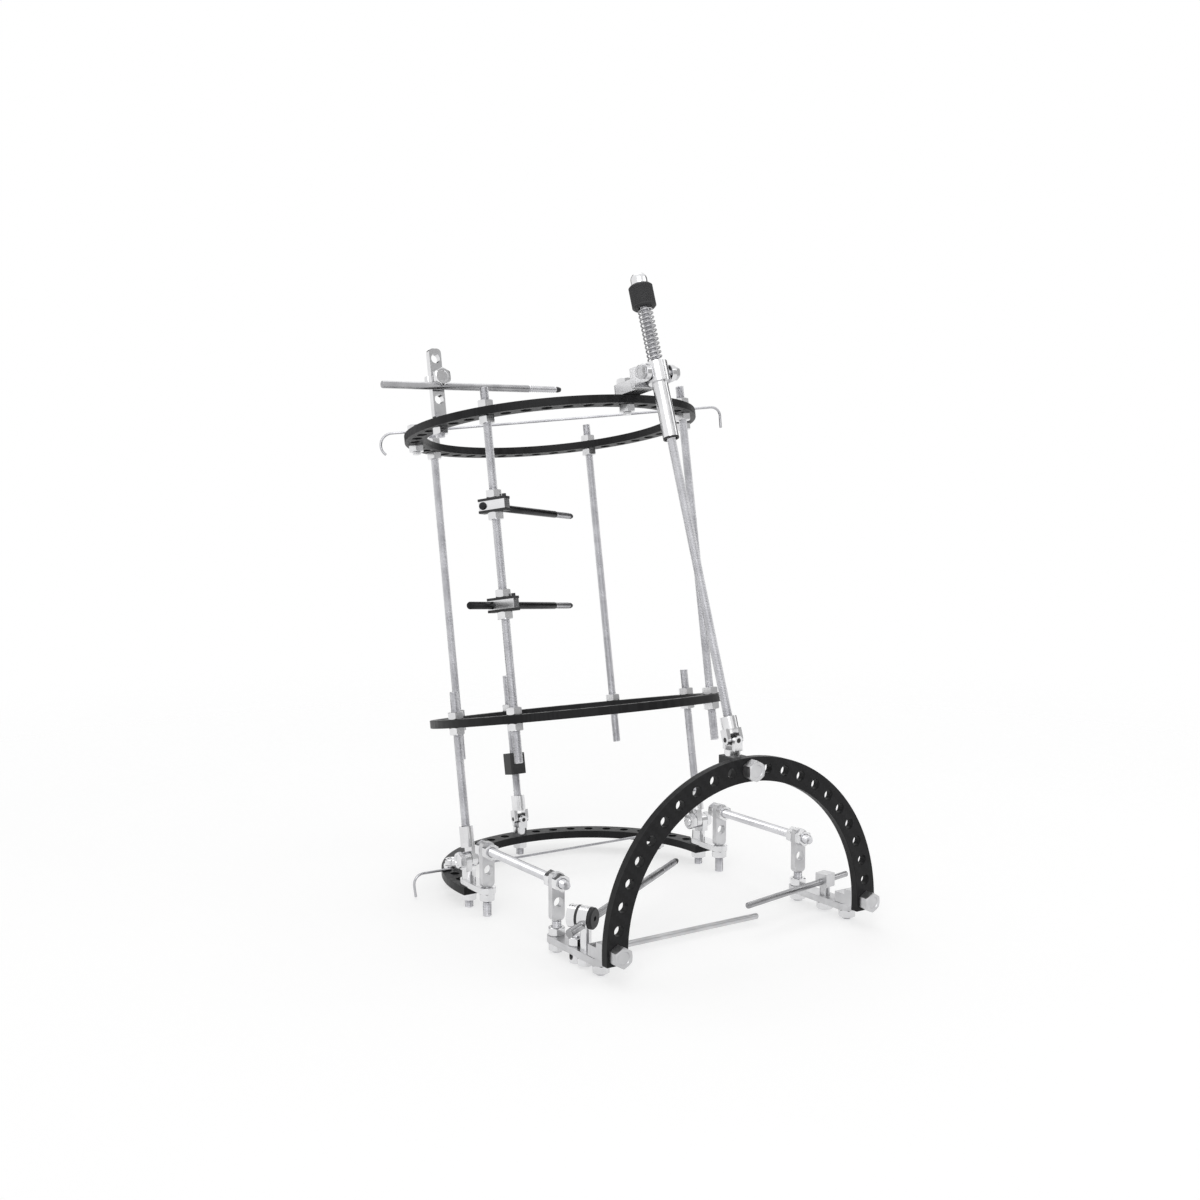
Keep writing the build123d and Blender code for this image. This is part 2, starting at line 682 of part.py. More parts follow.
os.makedirs("parts", exist_ok=True)
for name, shape in nodes.items():
    export_step(shape, f"parts/{name}.step")
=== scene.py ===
import json
import math

import bmesh
import bpy
import numpy as np
from mathutils import Matrix, Vector

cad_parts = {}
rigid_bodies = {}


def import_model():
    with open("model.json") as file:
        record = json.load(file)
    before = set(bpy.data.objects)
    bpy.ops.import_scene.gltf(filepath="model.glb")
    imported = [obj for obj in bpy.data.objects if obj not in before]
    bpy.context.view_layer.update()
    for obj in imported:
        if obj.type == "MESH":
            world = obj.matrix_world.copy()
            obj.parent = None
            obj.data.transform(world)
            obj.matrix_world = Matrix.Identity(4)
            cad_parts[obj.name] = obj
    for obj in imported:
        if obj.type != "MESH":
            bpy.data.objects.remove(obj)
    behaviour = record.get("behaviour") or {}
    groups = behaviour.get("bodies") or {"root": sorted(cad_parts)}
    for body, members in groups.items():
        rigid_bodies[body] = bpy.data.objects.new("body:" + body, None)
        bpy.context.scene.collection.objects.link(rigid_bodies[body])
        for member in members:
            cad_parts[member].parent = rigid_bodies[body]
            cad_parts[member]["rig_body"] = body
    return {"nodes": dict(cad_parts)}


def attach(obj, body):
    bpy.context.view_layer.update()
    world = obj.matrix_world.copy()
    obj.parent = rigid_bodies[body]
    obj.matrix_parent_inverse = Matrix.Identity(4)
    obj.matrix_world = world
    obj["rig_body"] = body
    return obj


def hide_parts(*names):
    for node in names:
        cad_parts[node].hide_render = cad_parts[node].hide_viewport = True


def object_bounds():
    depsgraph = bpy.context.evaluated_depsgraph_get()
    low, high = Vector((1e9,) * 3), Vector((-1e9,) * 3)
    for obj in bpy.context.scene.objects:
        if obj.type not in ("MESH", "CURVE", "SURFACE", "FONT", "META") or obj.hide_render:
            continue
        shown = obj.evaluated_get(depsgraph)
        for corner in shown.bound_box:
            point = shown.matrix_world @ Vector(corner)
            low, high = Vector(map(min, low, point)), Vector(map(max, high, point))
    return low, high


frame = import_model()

cad_box = [list(corner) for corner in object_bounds()]

# Tolerances in metres, and shares that count as full, parallel or nearly so
WELD = 2e-6
TINY = 1e-7
SAME = 1e-5
APART = 1e-4
NO_AREA = 1e-15
NEAR_FULL = 0.99
NEAR_CORNER = 0.995
PARALLEL = 0.9999
ALONGSIDE = 0.95

# Eased edges in metres, the steps across one, and the share of a pin's edge at its middle
EDGE = 0.00035
FINE_EDGE = 0.0003
WIRE_EDGE = 0.0002
BORE_EDGE = 0.0004
PIN_EDGE = 0.0006
KNOB_EDGE = 0.001
CAP_EDGE = 0.0008
EDGE_STEPS = 2
PIN_ROUNDING = 0.3

# Threads, pin ends, heads and knurls in metres
ROD_PITCH = 0.001
ROD_DEPTH = 0.00045
PIN_PITCH = 0.00175
PIN_DEPTH = 0.0004
PIN_NOSE = 0.002
SEAT_HEIGHT = 0.0002
DISH_DEPTH = 0.0005
KNURL_PITCH = 0.0016
KNURL_DEPTH = 0.00035
CAP_BORE = 0.0015

# Turned faces of nuts and heads, as shares of the hexagon's or the face's width
NUT_FACE = 0.96
HEAD_FACE = 0.95
SEAT_FACE = 0.98
DISH = 0.72
DISH_WALL = 0.06

# Sides, steps and turns of round shapes
ROUND_SIDES = 40
POINT_SIDES = 16
THREAD_SIDES = 16
SPARE_TURNS = 5
HEX_SIDES = 48
WIRE_SIDES = 12
SPRING_TURNS = 12
TURN_STEPS = 28
KNURL_STEPS = 6
KNURL_RUNOUT = 4
KNURL_FLANK = 2.2

# Angles in degrees: those up to which faces blend, and those of edges and chamfers
THREAD_SMOOTH = 60
PIN_SMOOTH = 35
KNURL_SMOOTH = 30
SOLID_SMOOTH = 30
HEX_SMOOTH = 25
FLAT = 0.5
EASED_FROM = 40
CHAMFER = 30

# Black areas on steel solids, in metres; the band round the left foot clamp's barrel is painted shade
SLEEVE_RIM = 0.0012
FORK_HEIGHT = 0.013
TO_THE_END = 0.1
PAINTED_SHADE_BAND_AT = 0.0061
PAINTED_SHADE_BAND_WIDE = 0.0018

# Carbon plate: its tows and plies in metres, and the shares of its tone and gloss
TOW = 0.0021
PLY = 0.00055
TWILL = 4.0
FACE_ON = 0.7
WARP_TONE = 0.35
CLOUD_TONE = 0.5
WARP_GLOSS = 0.3

# The lean of the leg frame, and the directions up, down and down the leg
LEAN = math.radians(10)
UP = (0, 0, 1)
DOWN = (0, 0, -1)
DOWN_THE_LEG = (0, -math.sin(LEAN), -math.cos(LEAN))

# The photograph's camera
EYE = Vector((-0.5686, -0.7757, 0.3015))
VIEW_TURN = math.radians(-33.617)
VIEW_RISE = math.radians(5.397)
LENS = 44.63
SENSOR = 36.0
NEAREST = 0.01

# Floor, flags and light, in metres and watts
FLOOR_HALF = 3.0
FLOOR_BACK = 0.05
FLOOR_DROP = 0.0004
FLOOR_GLOW = 0.58
FADE_START = 0.35
FADE_END = 1.3
FLAG_RADIUS = 1.6
FLAG_LOW = 0.02
FLAG_HIGH = 1.5
FLAG_STEPS = 12
WORLD_LIGHT = 0.55
WORLD_SEEN = 1.0


# Reading the frame

def solids(node):
    """Each separate solid of a node: its points, and its faces' corners."""
    bm = bmesh.new()
    bm.from_mesh(frame["nodes"][node].data)
    bmesh.ops.remove_doubles(bm, verts=bm.verts, dist=WELD)
    bm.verts.index_update()
    found = []
    done = set()
    for first in bm.verts:
        if first.index in done:
            continue
        done.add(first.index)
        group = [first]
        for vert in group:
            for edge in vert.link_edges:
                other = edge.other_vert(vert)
                if other.index not in done:
                    done.add(other.index)
                    group.append(other)
        position = {vert.index: i for i, vert in enumerate(group)}
        points = np.array([vert.co for vert in group], float)
        faces = {face.index: face for vert in group for face in vert.link_faces}
        corners = [[position[v.index] for v in faces[i].verts] for i in sorted(faces)]
        found.append((points, corners))
    bm.free()
    return found


def whole(node):
    """All points of a node."""
    return np.concatenate([points for points, _ in solids(node)])


def box_middle(points):
    return (points.min(0) + points.max(0)) / 2


def about(points, start, axis):
    """Each point's distance from a line, and its place along it."""
    axis = np.array(axis)
    off = points - np.array(start)
    along = off @ axis
    return np.linalg.norm(off - np.outer(along, axis), axis=1), along


def rod_line(points):
    """Where a round bar starts, its direction, and its length."""
    axis = np.linalg.svd(points - points.mean(0))[2][0]
    if axis[np.abs(axis).argmax()] < 0:
        axis = -axis
    along = (points - box_middle(points)) @ axis
    top = box_middle(points[np.abs(along - along.max()) < SAME])
    low = box_middle(points[np.abs(along - along.min()) < SAME])
    length = float(np.linalg.norm(top - low))
    return Vector(low), Vector((top - low) / length), length


def flat_axis(points, corners):
    """The direction that most of a solid's flat area faces."""
    tri = points[np.array([c[:3] for c in corners])]
    cross = np.cross(tri[:, 1] - tri[:, 0], tri[:, 2] - tri[:, 0])
    area = np.linalg.norm(cross, axis=1)
    normal = cross / np.maximum(area, NO_AREA)[:, None]
    facing = np.abs(normal @ normal.T) > PARALLEL
    best = normal[(facing * area).sum(1).argmax()]
    return best if best[np.abs(best).argmax()] > 0 else -best


def hexagon(points, corners):
    """A nut's or a bolt's axis, centre, corner direction, width, hexagon heights, bore and ends."""
    axis = flat_axis(points, corners)
    middle = box_middle(points)
    along = (points - middle) @ axis
    flat = points - middle - np.outer(along, axis)
    shift = box_middle(flat)
    flat = flat - shift
    middle = middle + shift
    reach = np.linalg.norm(flat, axis=1)
    corner = reach > NEAR_CORNER * reach.max()
    return {
        "axis": axis,
        "middle": middle,
        "corner": flat[corner][0] / reach[corner][0],
        "af": float(reach.max() * math.sqrt(3)),
        "low": float(along[corner].min()),
        "high": float(along[corner].max()),
        "bore": float(reach.min()),
        "ends": (float(along.min()), float(along.max())),
    }


# Building meshes

def place(origin, axis, x_hint=None):
    """The matrix that takes +Z to axis and the origin to a point."""
    z = Vector(axis).normalized()
    hint = Vector(x_hint) if x_hint is not None else Vector((1, 0, 0))
    if abs(hint.normalized().dot(z)) > ALONGSIDE:
        hint = Vector((0, 1, 0))
    x = (hint - z * hint.dot(z)).normalized()
    y = z.cross(x)
    rotation = Matrix((x, y, z)).transposed().to_4x4()
    return Matrix.Translation(Vector(origin)) @ rotation


def moved(shape, matrix):
    verts, faces = shape
    return [matrix @ Vector(v) for v in verts], faces


def joined(shapes):
    verts = []
    faces = []
    for more_verts, more_faces in shapes:
        base = len(verts)
        verts.extend(more_verts)
        faces.extend([tuple(base + i for i in face) for face in more_faces])
    return verts, faces


def rings(rows, wrap=False):
    """Joins equal rings of points into a skin, capped at both ends or wrapped into a loop."""
    sides = len(rows[0])
    verts = [point for row in rows for point in row]
    faces = []
    count = len(rows) if wrap else len(rows) - 1
    for i in range(count):
        low = i * sides
        high = ((i + 1) % len(rows)) * sides
        for j in range(sides):
            k = (j + 1) % sides
            faces.append((low + j, low + k, high + k, high + j))
    if not wrap:
        faces.append(tuple(reversed(range(sides))))
        faces.append(tuple(range((len(rows) - 1) * sides, len(rows) * sides)))
    return verts, faces


def circle(r, z, sides=ROUND_SIDES):
    return [
        (r * math.cos(math.tau * j / sides), r * math.sin(math.tau * j / sides), z)
        for j in range(sides)
    ]


def lathe(profile, sides=ROUND_SIDES):
    return rings([circle(r, z, sides) for r, z in profile])


def thread(length, crest, depth, pitch):
    """A threaded bar from z = 0 to its length, running out to the root at both ends."""
    sides = THREAD_SIDES
    root = crest - depth
    rows = 2 * (int(length / pitch) + SPARE_TURNS)
    verts = []
    for i in range(rows):
        for j in range(sides):
            z = (i / 2 + j / sides - 1) * pitch
            r = crest if i % 2 == 0 else root
            if z <= 0 or z >= length:
                r = root
                z = min(max(z, 0.0), length)
            turn = math.tau * j / sides
            verts.append((r * math.cos(turn), r * math.sin(turn), z))
    faces = []
    for i in range(rows - 3):
        for j in range(sides):
            k = i * sides + j
            if j + 1 < sides:
                faces.append((k, k + 1, k + sides + 1, k + sides))
            else:
                faces.append((k, (i + 2) * sides, (i + 3) * sides, k + sides))
    faces.append(tuple(reversed(range(sides))))
    last = (rows - 1) * sides
    faces.append(tuple(range(last, last + sides)))
    return verts, faces


def hex_outline(af, turn):
    """Distance from the centre to a hexagon's side, with a corner at turn 0."""
    return af / 2 / math.cos((turn % (math.pi / 3)) - math.pi / 6)


def hex_row(af, z, inward, rise):
    """One ring round a hexagon whose corners are turned off by a cone."""
    row = []
    for j in range(HEX_SIDES):
        turn = math.tau * j / HEX_SIDES
        r = hex_outline(af, turn)
        drop = max(0.0, r - inward) * math.tan(math.radians(CHAMFER))
        row.append((r * math.cos(turn), r * math.sin(turn), z - rise * drop))
    return row


def nut(af, height, bore):
    """A nut on z = 0, chamfered above and below."""
    inward = af / 2 * NUT_FACE
    rows = [
        circle(bore, BORE_EDGE, HEX_SIDES),
        circle(bore + BORE_EDGE, 0, HEX_SIDES),
        circle(inward, 0, HEX_SIDES),
        hex_row(af, 0, inward, -1),
        hex_row(af, height, inward, 1),
        circle(inward, height, HEX_SIDES),
        circle(bore + BORE_EDGE, height, HEX_SIDES),
        circle(bore, height - BORE_EDGE, HEX_SIDES),
    ]
    return rings(rows, wrap=True)


def head(af, height):
    """A bolt's head on z = 0, chamfered and dished on top and with a thin turned face below."""
    inward = af / 2 * HEAD_FACE
    rows = [
        circle(inward * SEAT_FACE, 0, HEX_SIDES),
        hex_row(af, SEAT_HEIGHT, af, 0),
        hex_row(af, height, inward, 1),
        circle(inward, height, HEX_SIDES),
        circle(inward * DISH, height, HEX_SIDES),
        circle(inward * (DISH - DISH_WALL), height - DISH_DEPTH, HEX_SIDES),
    ]
    return rings(rows)


def finished(name, shape, material, smooth):
    """A mesh object from points and faces, welded, with smooth curves and sharp corners."""
    verts, faces = shape
    mesh = bpy.data.meshes.new(name)
    mesh.from_pydata([tuple(v) for v in verts], [], faces)
    bm = bmesh.new()
    bm.from_mesh(mesh)
    bmesh.ops.remove_doubles(bm, verts=bm.verts, dist=TINY)
    bmesh.ops.dissolve_degenerate(bm, edges=bm.edges, dist=TINY)
    bmesh.ops.recalc_face_normals(bm, faces=bm.faces)
    for face in bm.faces:
        face.smooth = True
    bm.to_mesh(mesh)
    bm.free()
    mesh.set_sharp_from_angle(angle=math.radians(smooth))
    mesh.materials.append(material)
    obj = bpy.data.objects.new(name, mesh)
    bpy.context.scene.collection.objects.link(obj)
    return obj


def stands_for(obj, node):
    """Puts a piece in the place of a CAD node, on its body, and hides the node."""
    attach(obj, frame["nodes"][node]["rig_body"])
    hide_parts(node)


def split(bm, spot, normal, clear_outer=False):
    """Cuts a mesh along a plane."""
    parts = bm.verts[:] + bm.edges[:] + bm.faces[:]
    return bmesh.ops.bisect_plane(
        bm, geom=parts, plane_co=spot, plane_no=normal, clear_outer=clear_outer, dist=TINY
    )


def darken(bm, start, normal, depth):
    """Gives the second material to the slab of a mesh between two planes."""
    for spot in (start, start + normal * depth):
        split(bm, spot, normal)
    for face in bm.faces:
        face.material_index = int(0 < (face.calc_center_median() - start).dot(normal) < depth)


def cut_off(bm, spot, normal):
    """Takes away what lies beyond a plane and closes the mesh there."""
    made = split(bm, spot, normal, clear_outer=True)
    rim = [e for e in made["geom_cut"] if isinstance(e, bmesh.types.BMEdge)]
    bmesh.ops.holes_fill(bm, edges=rim, sides=0)


def bevelled(obj, width):
    """Bevels an object's sharp edges and keeps the result as its mesh."""
    bevel = obj.modifiers.new("edges", "BEVEL")
    bevel.width = width
    bevel.segments = EDGE_STEPS
    bevel.limit_method = "ANGLE"
    bevel.angle_limit = math.radians(EASED_FROM)
    bevel.use_clamp_overlap = True
    bevel.harden_normals = True
    bpy.context.view_layer.update()
    ready = obj.evaluated_get(bpy.context.evaluated_depsgraph_get())
    obj.data = bpy.data.meshes.new_from_object(ready)
    obj.modifiers.clear()


def eased(node, material, width=EDGE, cut=None, dark=None):
    """A copy of a CAD solid with eased edges, left off beyond the cut plane and black in the dark slab."""
    bm = bmesh.new()
    bm.from_mesh(frame["nodes"][node].data)
    bmesh.ops.remove_doubles(bm, verts=bm.verts, dist=WELD)
    for face in bm.faces:
        face.material_index = 0
    if dark is not None:
        darken(bm, *dark)
    if cut is not None:
        cut_off(bm, *cut)
    bmesh.ops.dissolve_limit(
        bm, angle_limit=math.radians(FLAT), verts=bm.verts, edges=bm.edges,
        use_dissolve_boundaries=False, delimit={"MATERIAL"},
    )
    for face in bm.faces:
        face.smooth = True
    mesh = bpy.data.meshes.new(node + "_eased")
    bm.to_mesh(mesh)
    bm.free()
    mesh.set_sharp_from_angle(angle=math.radians(SOLID_SMOOTH))
    mesh.materials.append(material)
    if dark is not None:
        mesh.materials.append(black)
    obj = bpy.data.objects.new(node + "_eased", mesh)
    bpy.context.scene.collection.objects.link(obj)
    bevelled(obj, width)
    stands_for(obj, node)


# Materials

class Nodes:
    """A node material and short calls to wire it."""

    def __init__(self, name):
        self.material = bpy.data.materials.new(name)
        self.material.use_nodes = True
        self.tree = self.material.node_tree
        self.shader = self.tree.nodes["Principled BSDF"]

    def add(self, kind, **settings):
        node = self.tree.nodes.new(kind)
        for key, value in settings.items():
            setattr(node, key, value)
        return node

    def link(self, source, target):
        self.tree.links.new(source, target)

    def math(self, operation, a, b=None):
        node = self.add("ShaderNodeMath", operation=operation)
        for value, socket in zip((a, b), node.inputs):
            if value is None:
                continue
            if isinstance(value, (int, float)):
                socket.default_value = value
            else:
                self.link(value, socket)
        return node.outputs[0]

    def position(self):
        return self.add("ShaderNodeTexCoord").outputs["Object"]

    def dot(self, source, vector):
        node = self.add("ShaderNodeVectorMath", operation="DOT_PRODUCT")
        node.inputs[1].default_value = vector
        self.link(source, node.inputs[0])
        return node.outputs["Value"]

    def along(self, vector):
        """The object position measured along a direction."""
        return self.dot(self.position(), vector)

    def facing(self, vector):
        """How squarely the surface faces along a direction."""
        normal = self.add("ShaderNodeNewGeometry").outputs["Normal"]
        return self.math("ABSOLUTE", self.dot(normal, vector))

    def noise(self, scale, detail=3.0, stretch=(1, 1, 1)):
        where = self.position()
        mapping = self.add("ShaderNodeMapping")
        mapping.inputs["Scale"].default_value = stretch
        self.link(where, mapping.inputs["Vector"])
        node = self.add("ShaderNodeTexNoise")
        node.inputs["Scale"].default_value = scale
        node.inputs["Detail"].default_value = detail
        self.link(mapping.outputs["Vector"], node.inputs["Vector"])
        return node.outputs["Fac"]

    def ramp(self, factor, low, high, start=0.0, end=1.0):
        node = self.add("ShaderNodeValToRGB")
        node.color_ramp.elements[0].color = (*low, 1)
        node.color_ramp.elements[1].color = (*high, 1)
        node.color_ramp.elements[0].position = start
        node.color_ramp.elements[1].position = end
        self.link(factor, node.inputs["Fac"])
        return node.outputs["Color"]

    def spread(self, factor, low, high):
        node = self.add("ShaderNodeMapRange")
        node.inputs["To Min"].default_value = low
        node.inputs["To Max"].default_value = high
        self.link(factor, node.inputs["Value"])
        return node.outputs["Result"]

    def bump(self, height, strength, distance):
        node = self.add("ShaderNodeBump")
        node.inputs["Strength"].default_value = strength
        node.inputs["Distance"].default_value = distance
        self.link(height, node.inputs["Height"])
        self.link(node.outputs["Normal"], self.shader.inputs["Normal"])


def steel(name, dark, light, rough):
    """Polished or drawn steel: small changes of tone and gloss, and a fine grain."""
    m = Nodes(name)
    m.shader.inputs["Metallic"].default_value = 1.0
    tone = m.ramp(m.noise(scale=70.0), dark, light, start=0.35, end=0.65)
    m.link(tone, m.shader.inputs["Base Color"])
    gloss = m.spread(m.noise(scale=260.0, detail=5.0), *rough)
    m.link(gloss, m.shader.inputs["Roughness"])
    grain = m.noise(scale=900.0, detail=2.0, stretch=(1, 1, 0.12))
    m.bump(grain, strength=0.05, distance=0.0002)
    return m.material


def carbon(name, across, over, through):
    """Twill carbon plate: crossed tows on the faces and thin plies along the edges."""
    m = Nodes(name)
    u = m.math("DIVIDE", m.along(across), TOW)
    v = m.math("DIVIDE", m.along(over), TOW)
    step = m.math("ADD", m.math("FLOOR", u), m.math("FLOOR", v))
    warp = m.math("LESS_THAN", m.math("FLOORED_MODULO", step, TWILL), TWILL / 2)
    weft = m.math("SUBTRACT", 1.0, warp)
    crown_u = m.math("SINE", m.math("MULTIPLY", m.math("FRACT", u), math.pi))
    crown_v = m.math("SINE", m.math("MULTIPLY", m.math("FRACT", v), math.pi))
    crown = m.math("ADD", m.math("MULTIPLY", warp, crown_u), m.math("MULTIPLY", weft, crown_v))
    plies = m.math("SINE", m.math("MULTIPLY", m.along(through), math.tau / PLY))
    face = m.math("GREATER_THAN", m.facing(through), FACE_ON)
    edge = m.math("SUBTRACT", 1.0, face)
    layer = m.math("MULTIPLY", m.math("ADD", m.math("MULTIPLY", plies, 0.5), 0.5), edge)
    height = m.math("ADD", m.math("MULTIPLY", crown, face), layer)
    weave = m.math("MULTIPLY", warp, WARP_TONE)
    cloud = m.math("MULTIPLY", m.noise(scale=45.0), CLOUD_TONE)
    tone = m.ramp(m.math("ADD", weave, cloud), (0.006, 0.006, 0.0065), (0.020, 0.020, 0.0215))
    m.link(tone, m.shader.inputs["Base Color"])
    gloss = m.math("ADD", m.math("MULTIPLY", warp, WARP_GLOSS), m.noise(scale=300.0))
    m.link(m.spread(gloss, 0.3, 0.5), m.shader.inputs["Roughness"])
    m.shader.inputs["Specular IOR Level"].default_value = 0.2
    m.bump(height, strength=0.25, distance=0.00008)
    return m.material


def anodised(name):
    """Black anodised aluminium with a fine matt tooth."""
    m = Nodes(name)
    tone = m.ramp(m.noise(scale=120.0), (0.012, 0.012, 0.013), (0.03, 0.03, 0.032))
    m.link(tone, m.shader.inputs["Base Color"])
    gloss = m.spread(m.noise(scale=900.0, detail=4.0), 0.38, 0.58)
    m.link(gloss, m.shader.inputs["Roughness"])
    m.bump(m.noise(scale=2600.0, detail=3.0), strength=0.15, distance=0.0001)
    return m.material


polished = steel("polished_steel", (0.70, 0.70, 0.71), (0.80, 0.80, 0.81), (0.12, 0.26))
rod_steel = steel("rod_steel", (0.60, 0.60, 0.62), (0.72, 0.72, 0.74), (0.22, 0.36))
satin = steel("satin_steel", (0.54, 0.54, 0.55), (0.66, 0.66, 0.67), (0.28, 0.4))
# Pin shank steel darkened to mid grey: partly the steel's own tone, partly painted dark reflection of the
# lower half
pin_steel = steel("pin_steel", (0.32, 0.32, 0.33), (0.44, 0.44, 0.45), (0.2, 0.32))
# Near-black shank steel for the leg half pins: painted dark reflection, not the steel's own tone
pin_painted_dark_reflection = steel("pin_painted_reflection_shank", (0.02, 0.02, 0.021), (0.04, 0.04, 0.042), (0.2, 0.32))
pin_light = steel("pin_thread", (0.50, 0.50, 0.52), (0.66, 0.66, 0.68), (0.22, 0.36))
wire_steel = steel("wire_steel", (0.38, 0.38, 0.40), (0.52, 0.52, 0.54), (0.2, 0.35))
spring_steel = steel("spring_steel", (0.40, 0.40, 0.41), (0.55, 0.55, 0.56), (0.22, 0.34))
black = anodised("black_anodised")
ring_carbon = carbon("leg_ring_carbon", (1, 0, 0), (0, math.cos(LEAN), -math.sin(LEAN)),
                     (0, math.sin(LEAN), math.cos(LEAN)))
heel_carbon = carbon("heel_ring_carbon", (1, 0, 0), (0, 1, 0), (0, 0, 1))
arch_carbon = carbon("arch_carbon", (1, 0, 0), (0, 0, 1), (0, 1, 0))


# Threaded rods and studs

def rods(node, material):
    """A node of plain bars as threaded ones."""
    shapes = []
    for points, _ in solids(node):
        low, axis, length = rod_line(points)
        reach, _ = about(points, low, axis)
        bar = thread(length, float(reach.max()), ROD_DEPTH, ROD_PITCH)
        shapes.append(moved(bar, place(low, axis)))
    stands_for(finished(node + "_threaded", joined(shapes), material, THREAD_SMOOTH), node)


for node in ("leg_rods", "hinge_rods", "side_rails", "toe_studs", "rear_rod", "front_rod"):
    rods(node, rod_steel)


# Nuts and bolts

def nuts(node, material):
    """A node of nuts with chamfered corners and bores."""
    shapes = []
    for points, corners in solids(node):
        h = hexagon(points, corners)
        start = Vector(h["middle"] + h["axis"] * h["low"])
        shape = nut(h["af"], h["high"] - h["low"], h["bore"])
        shapes.append(moved(shape, place(start, h["axis"], h["corner"])))
    stands_for(finished(node + "_chamfered", joined(shapes), material, HEX_SMOOTH), node)


def bolts(node, material):
    """A node of bolts with turned heads and threaded shanks."""
    shapes = []
    for points, corners in solids(node):
        h = hexagon(points, corners)
        axis = h["axis"]
        seat, top, tip = h["low"], h["high"], h["ends"][0]
        if abs(h["ends"][1] - h["high"]) > SAME:
            axis = -axis
            seat, top, tip = -h["high"], -h["low"], -h["ends"][1]
        reach, along = about(points, h["middle"], axis)
        r = float(reach[along < tip + SAME].max())
        shapes.append(moved(head(h["af"], top - seat),
                            place(Vector(h["middle"] + axis * seat), axis, h["corner"])))
        shapes.append(moved(thread(seat - tip, r, ROD_DEPTH, ROD_PITCH),
                            place(Vector(h["middle"] + axis * tip), axis)))
    stands_for(finished(node + "_turned", joined(shapes), material, HEX_SMOOTH), node)


for node in ("leg_nuts", "foot_nuts", "rear_rod_nuts"):
    nuts(node, polished)
for node in ("bracket_bolt", "post_bolt", "hinge_pivots", "proximal_wire_bolts", "heel_wire_bolts"):
    bolts(node, polished)
for node in ("arch_bolts", "swivel_screws"):
    bolts(node, satin)


# Bone pins

def bone_pin(node, shank_material):
    """A pin in three pieces: a plain shank, a threaded end and a black point."""
    points, _ = solids(node)[0]
    low, axis, length = rod_line(points)
    reach, along = about(points, low, axis)
    if reach[along < SAME].max() < reach[along > length - SAME].max():
        low = low + axis * length
        axis = -axis
        along = length - along
    r = float(reach.max())
    shank_end = float(along[reach > NEAR_FULL * r].max())
    thread_r = float(reach[along > shank_end + SAME].max())
    thread_end = float(along[reach > NEAR_FULL * thread_r].max())
    tip_r = float(reach[along > length - SAME].max())
    corner = PIN_EDGE * PIN_ROUNDING
    shank = lathe([
        (r - PIN_EDGE, 0), (r - corner, corner), (r, PIN_EDGE),
        (r, shank_end - PIN_EDGE / 2), (r - PIN_EDGE / 2, shank_end),
    ])
    screw = thread(thread_end - PIN_NOSE - shank_end, thread_r, PIN_DEPTH, PIN_PITCH)
    nose_r = thread_r - PIN_DEPTH / 2
    point = lathe([
        (thread_r - PIN_DEPTH, -PIN_NOSE), (nose_r, -PIN_NOSE / 2), (nose_r, 0),
        (tip_r, length - thread_end),
    ], POINT_SIDES)
    here = place(low, axis)
    stands_for(finished(node + "_shank", moved(shank, here), shank_material, PIN_SMOOTH), node)
    screw = moved(screw, here @ Matrix.Translation((0, 0, shank_end)))
    stands_for(finished(node + "_thread", screw, pin_light, THREAD_SMOOTH), node)
    point = moved(point, here @ Matrix.Translation((0, 0, thread_end)))
    stands_for(finished(node + "_point", point, black, PIN_SMOOTH), node)


# The leg half pins' near-black shanks are painted dark reflection
for node in ("half_pin_upper", "half_pin_lower"):
    bone_pin(node, pin_painted_dark_reflection)
# Mid-grey shanks: partly steel's tone, partly painted reflection
for node in ("half_pin_top", "foot_pin_left", "foot_pin_right"):
    bone_pin(node, pin_steel)
bone_pin("foot_pin_low", satin)


# Spring, knob and the knurled cap

def coil(node, low, axis, material):
    """A wire wound round a line, as wide and as tall as its CAD solid."""
    reach, along = about(whole(node), low, axis)
    wire_r = float(reach.max() - reach.min()) / 2
    coil_r = float(reach.max() + reach.min()) / 2
    coil_low = float(along.min()) + wire_r
    coil_h = float(along.max() - along.min()) - 2 * wire_r
    steps = SPRING_TURNS * TURN_STEPS
    rows = []
    for i in range(steps + 1):
        turn = math.tau * SPRING_TURNS * i / steps
        out = Vector((math.cos(turn), math.sin(turn), 0))
        centre = out * coil_r + Vector((0, 0, coil_low + coil_h * i / steps))
        row = []
        for j in range(WIRE_SIDES):
            a = math.tau * j / WIRE_SIDES
            row.append(centre + (out * math.cos(a) + Vector(UP) * math.sin(a)) * wire_r)
        rows.append(row)
    shape = moved(rings(rows), place(low, axis))
    stands_for(finished(node + "_coil", shape, material, THREAD_SMOOTH), node)


def knurled(r, height, bore, edge):
    """A turned cylinder whose side has crossed grooves."""
    around = int(math.tau * r / KNURL_PITCH) * KNURL_STEPS
    tall = int(height / KNURL_PITCH * KNURL_STEPS)
    rows = [circle(bore, 0, around), circle(r - edge, 0, around)]
    for i in range(tall + 1):
        z = edge + (height - 2 * edge) * i / tall
        ease = min(1.0, i / KNURL_RUNOUT, (tall - i) / KNURL_RUNOUT)
        row = []
        for j in range(around):
            turn = math.tau * j / around
            u = (j / KNURL_STEPS + z / KNURL_PITCH) % 1.0
            v = (j / KNURL_STEPS - z / KNURL_PITCH) % 1.0
            ridge = min(1 - abs(2 * u - 1), 1 - abs(2 * v - 1))
            depth = KNURL_DEPTH * (1 - min(1.0, KNURL_FLANK * ridge)) * ease
            row.append(((r - depth) * math.cos(turn), (r - depth) * math.sin(turn), z))
        rows.append(row)
    rows.append(circle(r - edge, height, around))
    rows.append(circle(bore, height, around))
    return rings(rows, wrap=True)


rod_low, rod_axis, _ = rod_line(whole("front_rod"))
coil("spring", rod_low, rod_axis, spring_steel)

